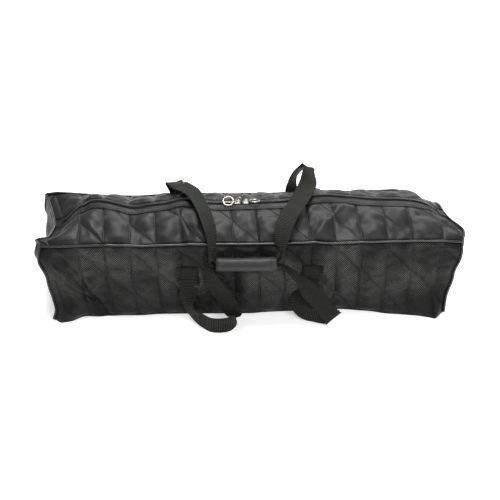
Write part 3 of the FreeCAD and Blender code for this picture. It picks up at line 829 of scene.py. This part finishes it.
def rounded_plate(name, centre, size, radius, swell, material, n=9):
    """A small plate with rounded corners and edges, its middle slightly domed."""
    cx, cy, cz = centre
    lx, ly, lz = (0.5 * k for k in size)
    outline = []
    for qx, qy, a0 in ((1, 1, 0), (-1, 1, 90), (-1, -1, 180), (1, -1, 270)):
        for k in range(n):
            a = math.radians(a0 + 90.0 * k / (n - 1))
            outline.append((qx * (lx - radius) + radius * math.cos(a),
                            qy * (ly - radius) + radius * math.sin(a)))
    rows = [(0.86, -1.0), (0.97, -0.75), (1.0, -0.2), (1.0, 0.3), (0.95, 0.8), (0.82, 1.0),
            (0.45, 1.0 + swell)]
    verts, faces, m = [], [], len(outline)
    for scale, h in rows:
        verts += [((cx + x * scale) * MM, (cy + y * scale) * MM, (cz + h * lz) * MM) for x, y in outline]
    for r in range(len(rows) - 1):
        for k in range(m):
            a, b = r * m + k, r * m + (k + 1) % m
            faces.append([a, b, b + m, a + m])
    faces += [list(range(m))[::-1], [(len(rows) - 1) * m + k for k in range(m)]]
    return add_mesh(name, verts, faces, material)


def ring(name, centre, radius, wire, normal, material, squeeze=1.0):
    """A closed wire ring; squeeze narrows it across the line it hangs on."""
    n = Vector(normal).normalized()
    a = n.orthogonal().normalized() if abs(n.x) > 0.5 else Vector((1, 0, 0))
    b = n.cross(a)
    verts, faces = [], []
    big, small = 56, 12
    for i in range(big):
        t = 2 * math.pi * i / big
        out = a * math.cos(t) + b * math.sin(t) * squeeze
        mid = Vector(centre) + out * radius
        for k in range(small):
            q = 2 * math.pi * k / small
            verts.append((mid + (out.normalized() * math.cos(q) + n * math.sin(q)) * wire) * MM)
            i2, k2 = (i + 1) % big, (k + 1) % small
            faces.append([i * small + k, i2 * small + k, i2 * small + k2, i * small + k2])
    return add_mesh(name, verts, faces, material)


for side, (sx, way, roll) in PULL.items():
    body = "zip_slider_" + side
    plate_z = EDGE_HEIGHT + CROWN + 1.3
    ob = rounded_plate(f"slider_plate_{side}", (sx, 0, plate_z), (15.4, 9.6, 1.9), 3.6, 0.35, NICKEL)
    declare(ob, body, "zip_metal", "slider_" + side)
    stem_at = (sx, 0, EDGE_HEIGHT + CROWN - 0.7)
    ob = rounded_plate(f"slider_stem_{side}", stem_at, (8.0, 1.2, 2.4), 0.5, 0.0, NICKEL, 4)
    declare(ob, body, "zip_metal")
    # the bridge that holds the pull: two cheeks and a pin, arched over along the zip
    for y in (-2.2, 2.2):
        arch = [((sx + 6.6 * math.cos(a)) * MM, y * MM, (plate_z + 0.2 + 6.4 * math.sin(a)) * MM)
                for a in np.linspace(0.02, math.pi - 0.02, 26)]
        ob = tube(f"slider_cheek_{side}_{'front' if y < 0 else 'rear'}", arch, 1.1 * MM, NICKEL, 10)
        declare(ob, body, "zip_metal")
    pin = [(sx * MM, y * MM, PIN_Z * MM) for y in np.linspace(-2.6, 2.6, 6)]
    declare(tube(f"slider_pin_{side}", pin, 0.95 * MM, NICKEL, 12), body, "zip_metal")
    hole = sx + way * 8.0
    # the link: an eye on the pin, a waist and the eye that holds the ring
    link = "pull_link_" + side
    eye = ring(f"link_eye_{side}", (sx, 0, PIN_Z), 1.75, 0.62, (0, 1, 0), NICKEL)
    declare(eye, link, "zip_metal", link)
    declare(ring(f"link_far_eye_{side}", (hole, 0, PIN_Z), 2.6, 0.7, (0, 1, 0), NICKEL), link, "zip_metal")
    waist = [((sx + way * d) * MM, 0, PIN_Z * MM) for d in np.linspace(2.0, 5.2, 6)]
    declare(tube(f"link_waist_{side}", waist, 0.85 * MM, NICKEL, 10), link, "zip_metal")
    if side == "left":
        # a small upright loop on top of the first slider
        ob = ring("slider_loop_left", (sx + 4.6, 0, PIN_Z + 5.0), 4.2, 1.2, (0, 1, 0.1), NICKEL)
        declare(ob, body, "zip_metal")
    tilt = math.radians(roll)
    normal = (0, -math.sin(tilt), math.cos(tilt))
    ob = ring(f"ring_{side}", (hole + way * RING_R, 0, PIN_Z), RING_R, 1.7, normal, NICKEL)
    declare(ob, "pull_ring_" + side, "zip_metal", "pull_ring_" + side)
    if side == "left":
        low = Vector((0, math.cos(tilt), math.sin(tilt))) * -2.6
        bar = [(Vector((hole + way * RING_R + d, 0, PIN_Z)) + low) * MM for d in np.linspace(-10.2, 10.2, 9)]
        ob = tube("ring_bar_left", [tuple(p) for p in bar], 1.1 * MM, NICKEL, 10)
        declare(ob, "pull_ring_left", "zip_metal")

# ---------------------------------------------------------------- piping
PIPE = 2.3
for name, sgn in (("front", -1.0), ("rear", 1.0)):
    x = np.linspace(-HALF_LENGTH + 1.0, HALF_LENGTH - 1.0, 260)
    y = sgn * (HALF_DEPTH + 1.2 + 0.3 * np.sin(x / 23.0)) + 0 * x
    z = EDGE_HEIGHT + 1.2 + 0.2 * np.sin(x / 31.0 + 1.0) + 0.1 * np.sin(x / 11.0)
    ob = tube(f"piping_{name}_cord", soft(np.stack([x, y, z], -1)) * MM, PIPE * MM, VINYL)
    declare(ob, "case", "piping_vinyl", f"piping_{name}_top")
for name, sgn in (("left", -1.0), ("right", 1.0)):
    path = ([(sgn * (HALF_LENGTH + 1.3), -HALF_DEPTH - 1.4, z) for z in np.linspace(3.5, EDGE_HEIGHT - 4, 34)]
            + [(sgn * (HALF_LENGTH + 1.3), y, EDGE_HEIGHT + 1.5 - 0.04 * max(0, abs(y) - 94) ** 2)
               for y in np.linspace(-HALF_DEPTH, HALF_DEPTH, 44)]
            + [(sgn * (HALF_LENGTH + 1.3), HALF_DEPTH + 1.4, z) for z in np.linspace(EDGE_HEIGHT - 4, 3.5, 34)])
    ob = tube(f"piping_{name}_cord", soft(path) * MM, PIPE * MM, VINYL)
    declare(ob, "case", "piping_vinyl", f"piping_{name}_end")


# ---------------------------------------------------------------- webbing
ROWS_PER_KEY = 12
STRAP_THICK = 1.7


def webbing_line(keys):
    """Centre, width way, width and slant, in mm, on smooth curves through the given keys.

    A key is (centre, width way, width), and a fourth number from 0 to 1 says how far the strap's
    section lies along a fold there instead of square to the strap.
    """
    at = [np.array(k[0], float) for k in keys]
    slant = [float(k[3]) if len(k) > 3 else 0.0 for k in keys]
    rows = []
    for i in range(len(keys) - 1):
        p1, p2 = at[i], at[i + 1]
        p0, p3 = at[max(0, i - 1)], at[min(len(keys) - 1, i + 2)]
        run = np.linalg.norm(p2 - p1)
        m1 = (p2 - p0) * run / (run + np.linalg.norm(p1 - p0))
        m2 = (p3 - p1) * run / (run + np.linalg.norm(p3 - p2))
        for k in range(ROWS_PER_KEY):
            t = k / ROWS_PER_KEY
            p = (p1 * (2 * t**3 - 3 * t**2 + 1) + m1 * (t**3 - 2 * t**2 + t)
                 + p2 * (3 * t**2 - 2 * t**3) + m2 * (t**3 - t**2))
            w = np.array(keys[i][1], float) * (1 - t) + np.array(keys[i + 1][1], float) * t
            width = keys[i][2] * (1 - t) + keys[i + 1][2] * t
            rows.append((p, w, width, slant[i] * (1 - t) + slant[i + 1] * t))
    rows.append((at[-1], np.array(keys[-1][1], float), float(keys[-1][2]), slant[-1]))
    return rows


def strap(name, rows, curl, first=0, last=None):
    """The rows first to last of a flat woven strap, with soft rounded edges and a crosswise curl."""
    pts = np.array([r[0] for r in rows])
    tan = np.gradient(pts, axis=0)
    tan /= np.linalg.norm(tan, axis=1)[:, None]
    run = np.concatenate([[0], np.cumsum(np.linalg.norm(np.diff(pts, axis=0), axis=1))])
    across = np.array([-1.0, -0.97, -0.86, -0.6, -0.3, 0.0, 0.3, 0.6, 0.86, 0.97, 1.0])
    depth = np.array([0.35, 0.8, 1.0, 1.0, 1.0, 1.0, 1.0, 1.0, 1.0, 0.8, 0.35])
    section = ([(a, d) for a, d in zip(across, depth)] + [(a, -d) for a, d in zip(across[::-1], depth[::-1])])
    k = len(section)
    verts, cloth = [], []
    kept = range(len(rows))[first:last]
    for i in kept:
        p, w, width, slant = rows[i]
        w = w / np.linalg.norm(w)
        w = w - tan[i] * np.dot(w, tan[i]) * (1 - slant)
        w /= np.linalg.norm(w)
        n = np.cross(tan[i], w)
        wide = min(1.5, 1 / max(np.linalg.norm(n), 0.1))
        n /= np.linalg.norm(n)
        for a, d in section:
            gather = 0.0 if width > 36 else math.sin(a * math.pi * 1.5) * (38.0 - width) * 0.12
            verts.append((p + w * a * width / 2 * wide + n * (d * STRAP_THICK / 2 + curl * a * a + gather)) * MM)
            cloth.append((run[i], a * 19.0, 0))
    faces = []
    for i in range(len(kept) - 1):
        for j in range(k):
            a, b = i * k + j, i * k + (j + 1) % k
            faces.append([a, a + k, b + k, b])
    faces += [list(range(k)), [(len(kept) - 1) * k + j for j in range(k)][::-1]]
    return add_mesh(name, verts, faces, WEBBING, {"cloth": cloth})


XW = (1, 0, 0)
UP = (0, 0, 1)
FOLD = (0.68, 0, 0.73)      # the line that the front handle is folded flat on, at the right
WEB = 38.0
GRIP = (-8.0, -125.0, 144.0)


def on_wall(x, sign, z, out):
    """A point off the front or rear wall, in mm."""
    return tuple(soft([x, sign * (HALF_DEPTH + out), z]))


front_left = [
    (on_wall(-129, -1, 92, 4.2), XW, WEB),
    (on_wall(-129, -1, 80, 5.0), XW, WEB),
    ((-131, -114, 60), (1, -0.15, 0), WEB),
    ((-131, -125, 43), (0.6, -0.65, 0.35), WEB),
    ((-122, -138, 28), (0.3, -0.55, 0.75), WEB),
    ((-104, -151, 20.5), (0, 0, 1), WEB),
    ((-80, -170, 20.3), UP, WEB),
    ((-46, -168, 20.3), UP, WEB),
    ((-31, -153, 25), (0.1, 0, 1), WEB),
    ((-44, -143, 48), (0.6, 0.1, 0.75), WEB),
    ((-60, -134, 74), (0.75, -0.2, 0.5), WEB),
    ((-78, -128, 101), (0.75, -0.3, 0.4), WEB),
    ((-82, -125.5, 123), (0.55, -0.5, 0.5), 34),
    ((-80, -125.5, 137), (0.15, -0.6, 0.5), 20),
    ((-67, GRIP[1], GRIP[2] - 1.9), (0, 1, 0), 18),
    ((-56, GRIP[1], GRIP[2] - 1.9), (0, 1, 0), 18),
]
front_right = [
    ((40, GRIP[1], GRIP[2] - 1.9), (0, 1, 0), 18),
    ((50, GRIP[1], GRIP[2] - 1.9), (0, 1, 0), 18),
    ((63, -125.5, 139), (0.1, 0.8, 0), 16),
    ((77, -127, 130), (0.3, 0.8, -0.1), 26),
    ((99, -132, 108), (0.35, 0.8, -0.2), 35),
    ((128, -139, 76), (0.8, 0.35, 0.4), WEB),
    ((155, -149, 49), (0.75, 0.05, 0.66), WEB),
    ((172, -155, 24), FOLD, WEB, 1),
    ((174.5, -153, 19.8), FOLD, WEB, 1),
    ((170, -149, 19.5), FOLD, WEB, 1),
    ((155, -146, 19.5), (0.3, 0, 0.95), WEB, 0.3),
    ((137, -142, 20.3), UP, WEB),
    ((114, -134, 24), (0.3, 0, 0.95), WEB),
    ((101, -127, 39), (0.7, -0.2, 0.65), WEB),
    ((106, -122, 56), (0.95, -0.2, 0.3), WEB),
    (on_wall(123.5, -1, 77, 7.0), XW, WEB),
    (on_wall(127, -1, 92, 4.4), XW, WEB),
]
rear_left = [
    (on_wall(-133, 1, 112, 4.2), XW, WEB),
    (on_wall(-134, 1, 127, 5.0), XW, WEB),
    ((-150, 114, 155), (1, 0.15, 0), WEB),
    ((-159, 118, 183), (0.85, 0.4, 0.1), WEB),
    ((-164, 107, 203), (0.85, 0.45, -0.1), WEB),
    ((-161, 88, 213), (0.85, 0.5, -0.25), WEB),
    ((-147, 62, 221), (0.75, 0.6, 0.1), WEB),
    ((-122, 26, 228), (0.8, 0.5, -0.1), WEB),
    ((-106, -10, 225), (0.75, 0.5, -0.35), WEB),
    ((-93, -47, 218), (0.75, 0.45, -0.4), WEB),
    ((-81, -92, 200), (0.7, 0.5, -0.5), 36),
    ((-77.5, -117.5, 176), (0.55, 0.6, -0.5), 28),
    ((-75, -123, 158), (0.25, 0.75, -0.4), 20),
    ((-67, GRIP[1], GRIP[2] + 1.9), (0, 1, 0), 18),
    ((-56, GRIP[1], GRIP[2] + 1.9), (0, 1, 0), 18),
]
rear_right = [
    ((40, GRIP[1], GRIP[2] + 1.9), (0, 1, 0), 18),
    ((52.5, GRIP[1], GRIP[2] + 1.9), (0, 1, 0), 18),
    ((63, -123.5, 158), (-0.1, 0.8, 0.3), 18),
    ((64, -119, 174), (-0.3, 0.75, 0.45), 24),
    ((66, -100, 199), (-0.9, 0.35, 0.25), 35),
    ((80, -62, 216), (-0.9, 0.35, 0.1), WEB),
    ((102, -20, 224), (-0.85, 0.5, 0.0), WEB),
    ((127, 40, 234), (-0.8, 0.35, 0.3), WEB),
    ((131.5, 68, 245), (-0.65, 0.0, 0.6), WEB),
    ((130, 88, 249.5), (-0.5, -0.5, 0.5), WEB),
    ((113.5, 104, 233), (-0.6, -0.7, 0.3), WEB),
    ((100, 112, 205), (-0.55, -0.75, 0.1), WEB),
    ((98, 113, 174), (-0.7, -0.6, -0.1), WEB),
    ((113, 112, 143), (-1, 0, -0.1), WEB),
    (on_wall(128.5, 1, 127, 5.4), (-1, 0, 0), WEB),
    (on_wall(129, 1, 112, 4.2), (-1, 0, 0), WEB),
]
# each front strand is cut at the outermost point of its floor loop
LOW_HOLD = 0.109            # in front of the middle, m, set for the low half
HIGH_HOLD = 0.127           # and this one for the high half
for part, keys, halves in (("left", front_left, ("low", "high")), ("right", front_right, ("high", "low"))):
    rows = webbing_line(keys)
    cut = min(range(len(rows)), key=lambda i: rows[i][0][1])
    loop_y = rows[cut][0][1] * MM
    for half, first, last in ((halves[0], 0, cut + 1), (halves[1], cut, None)):
        ob = strap(f"front_handle_{part}_{half}", rows, 0.5, first, last)
        hold = LOW_HOLD if half == "low" else HIGH_HOLD
        near, far = (0, -hold, 0), (0, 2 * loop_y + hold, 0)
        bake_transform(ob)
        declare(ob, None, "handle_webbing", "front_handle_webbing")
for part, keys in (("left", rear_left), ("right", rear_right)):
    ob = strap(f"rear_handle_{part}", webbing_line(keys), 0.6)
    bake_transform(ob)
    declare(ob, None, "handle_webbing", "rear_handle_webbing")

# sewn handle ends: a padded patch of webbing on the wall
for node, (ax, sgn) in ANCHORS.items():
    low, high = (85.0, 121.0)
    us = np.linspace(-19.0, 19.0, 14)
    vs = np.linspace(low, high, 14)
    u, v = np.meshgrid(us, vs)
    edge = np.minimum(np.minimum(u + 19.0, 19.0 - u), np.minimum(v - low, high - v))
    out = 3.6 * smooth((edge + 0.8) / 2.2) + 0.5
    skew = 1.5 * (v - low) / 36.0
    box_uv = np.stack([v, u, 0 * u], -1)
    outer = soft(np.stack([ax + u + skew, sgn * (HALF_DEPTH + out), v], -1)) * MM
    inner = soft(np.stack([ax + u + skew, sgn * (HALF_DEPTH - 0.6) + 0 * u, v], -1)) * MM
    ob = closed_sheet(node + "_sewn", outer, inner, box_uv, WEBBING, sgn > 0)
    declare(ob, "case", "handle_webbing", node)


# ---------------------------------------------------------------- grip
def grip_shell(name, r0, r1, a0, a1, x0, x1, material, lumps=0.5, nx=90, na=40):
    """Part of a padded roll about the grip's line, as a closed shell with soft ends."""
    xs = np.linspace(x0, x1, nx)
    an = np.radians(np.linspace(a0, a1, na))
    x, a = np.meshgrid(xs, an)
    end = np.minimum(x - x0, x1 - x)
    swell = (0.55 * np.sin(x / 17.0 + 1.3 * np.sin(a)) + 0.35 * np.sin(x / 9.0 + 2 * a)) * lumps
    ease = 1.6 * np.exp(-(end / 3.0) ** 2)
    sag = -1.6 * np.sin(np.pi * (x - x0) / (x1 - x0))

    def at(r):
        return np.stack([x, GRIP[1] + r * np.cos(a), GRIP[2] + r * np.sin(a) + sag], -1) * MM
    uv = np.stack([x, a * r1, 0 * x], -1)
    return closed_sheet(name, at(r1 + swell - ease), at(r0 + 0 * x), uv, material, True)


GX0, GX1 = GRIP[0] - 62.5, GRIP[0] + 62.5
ob = grip_shell("grip_wrap_leather", 11.6, 14.4, -100, 96, GX0, GX1, LEATHER)
declare(ob, "handle_grip", "grip_leatherette", "grip_wrap", fill=0.7)
ob = grip_shell("grip_cover_leather", 13.0, 14.5, 97, 258, GX0 + 0.5, GX1 - 0.5, LEATHER)
declare(ob, "grip_cover", "grip_leatherette", "grip_flap", fill=0.6)
for name, x in (("left", GX0 + 1.5), ("right", GX1 - 12.0)):
    an = np.radians(np.linspace(98, 256, 40))
    sag = -1.6 * math.sin(math.pi * (x - GX0) / 125.0)
    r = 14.7
    path = np.stack([0 * an + x, GRIP[1] + r * np.cos(an), GRIP[2] + r * np.sin(an) + sag], -1) * MM
    ob = tube(f"grip_binding_{name}", path, 0.9 * MM, LEATHER, 8)
    declare(ob, "grip_cover", "grip_leatherette")

for node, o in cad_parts.items():
    kind = (NICKEL if node.startswith(("slider", "pull")) else PILE if node.endswith("patch")
            else FOAM if node.endswith("padding") else None)
    if kind is not None:
        for slot_ in o.material_slots:
            slot_.material = kind

# ---------------------------------------------------------------- floor, light, camera
floor = bpy.data.materials.new("floor")
floor.use_nodes = True
for socket, value in (("Base Color", (0.9, 0.9, 0.9, 1)), ("Roughness", 0.9),
                      ("Emission Color", (1, 1, 1, 1)), ("Emission Strength", 0.42)):
    floor.node_tree.nodes["Principled BSDF"].inputs[socket].default_value = value
ground = add_mesh("floor", [(-8, -8, -0.0004), (8, -8, -0.0004), (8, 8, -0.0004), (-8, 8, -0.0004)],
                  [[0, 1, 2, 3]], floor, flat=True)

world = bpy.data.worlds.new("studio")
bpy.context.scene.world = world
world.use_nodes = True
world.node_tree.nodes["Background"].inputs[0].default_value = (1, 1, 1, 1)
world.node_tree.nodes["Background"].inputs[1].default_value = 0.6


def lamp(name, place, target, size, power, colour=(1, 1, 1)):
    data = bpy.data.lights.new(name, "AREA")
    data.shape = "RECTANGLE"
    data.size, data.size_y = size
    data.energy = power
    data.color = colour
    ob = bpy.data.objects.new(name, data)
    ob.location = place
    ob.rotation_euler = (Vector(target) - Vector(place)).to_track_quat("-Z", "Y").to_euler()
    bpy.context.scene.collection.objects.link(ob)


lamp("key", (-0.12, 0.3, 2.0), (0, 0, 0.1), (0.9, 0.7), 40, (1.0, 1.0, 0.98))
lamp("rim", (0.7, 1.7, 1.3), (0, 0, 0.15), (1.8, 0.6), 24, (0.99, 1.0, 0.99))
lamp("fill", (0.9, -1.7, 1.7), (0, 0, 0.1), (1.2, 1.0), 24)

AZIMUTH, ELEVATION, DISTANCE = math.radians(-1.3), math.radians(34.5), 1.95
aim = Vector((0.0, -0.100, 0.161))
back = Vector((math.sin(AZIMUTH) * math.cos(ELEVATION), -math.cos(AZIMUTH) * math.cos(ELEVATION),
               math.sin(ELEVATION)))
cam = bpy.data.cameras.new("camera")
cam.lens = 68
cam.sensor_width = 36
cam_ob = bpy.data.objects.new("camera", cam)
cam_ob.location = aim + back * DISTANCE
cam_ob.rotation_euler = (-back).to_track_quat("-Z", "Y").to_euler()
bpy.context.scene.collection.objects.link(cam_ob)
bpy.context.scene.camera = cam_ob
bpy.context.scene.view_settings.view_transform = "Standard"
